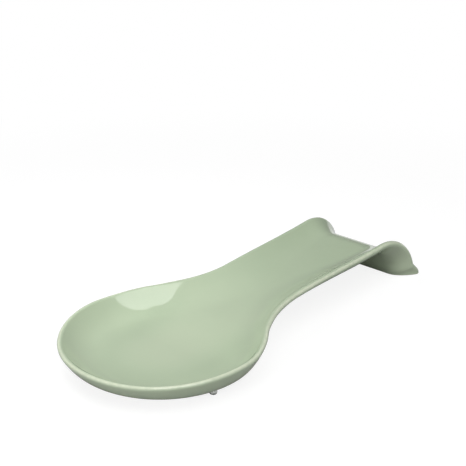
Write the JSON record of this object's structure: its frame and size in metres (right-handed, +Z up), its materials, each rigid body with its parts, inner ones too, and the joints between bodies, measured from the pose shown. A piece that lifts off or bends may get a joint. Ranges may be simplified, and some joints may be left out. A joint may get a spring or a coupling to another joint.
{
  "type": "spoon rest",
  "caption": "Glazed ceramic spoon rest: a round shallow bowl runs into a rising trough handle that curls over into a foot, standing on the foot and on clear stick-on bumpers.",
  "frame": {"origin": "on the table, under the middle of the overall length", "axes": "+X from the bowl to the foot at the handle's end, +Z up, Y across, so the part is mirror-symmetric about the XZ plane"},
  "size_m": [0.2718, 0.122, 0.033],
  "materials": {
    "glaze": "glossy sage green glaze",
    "bumper": "clear soft plastic",
    "adhesive": "clear adhesive film"
  },
  "bodies": {
    "root": {"ceramic_body": "glaze", "bumper_front": "bumper", "bumper_left": "bumper", "bumper_right": "bumper", "adhesive_front": "adhesive", "adhesive_left": "adhesive", "adhesive_right": "adhesive"}
  },
  "joints": []
}
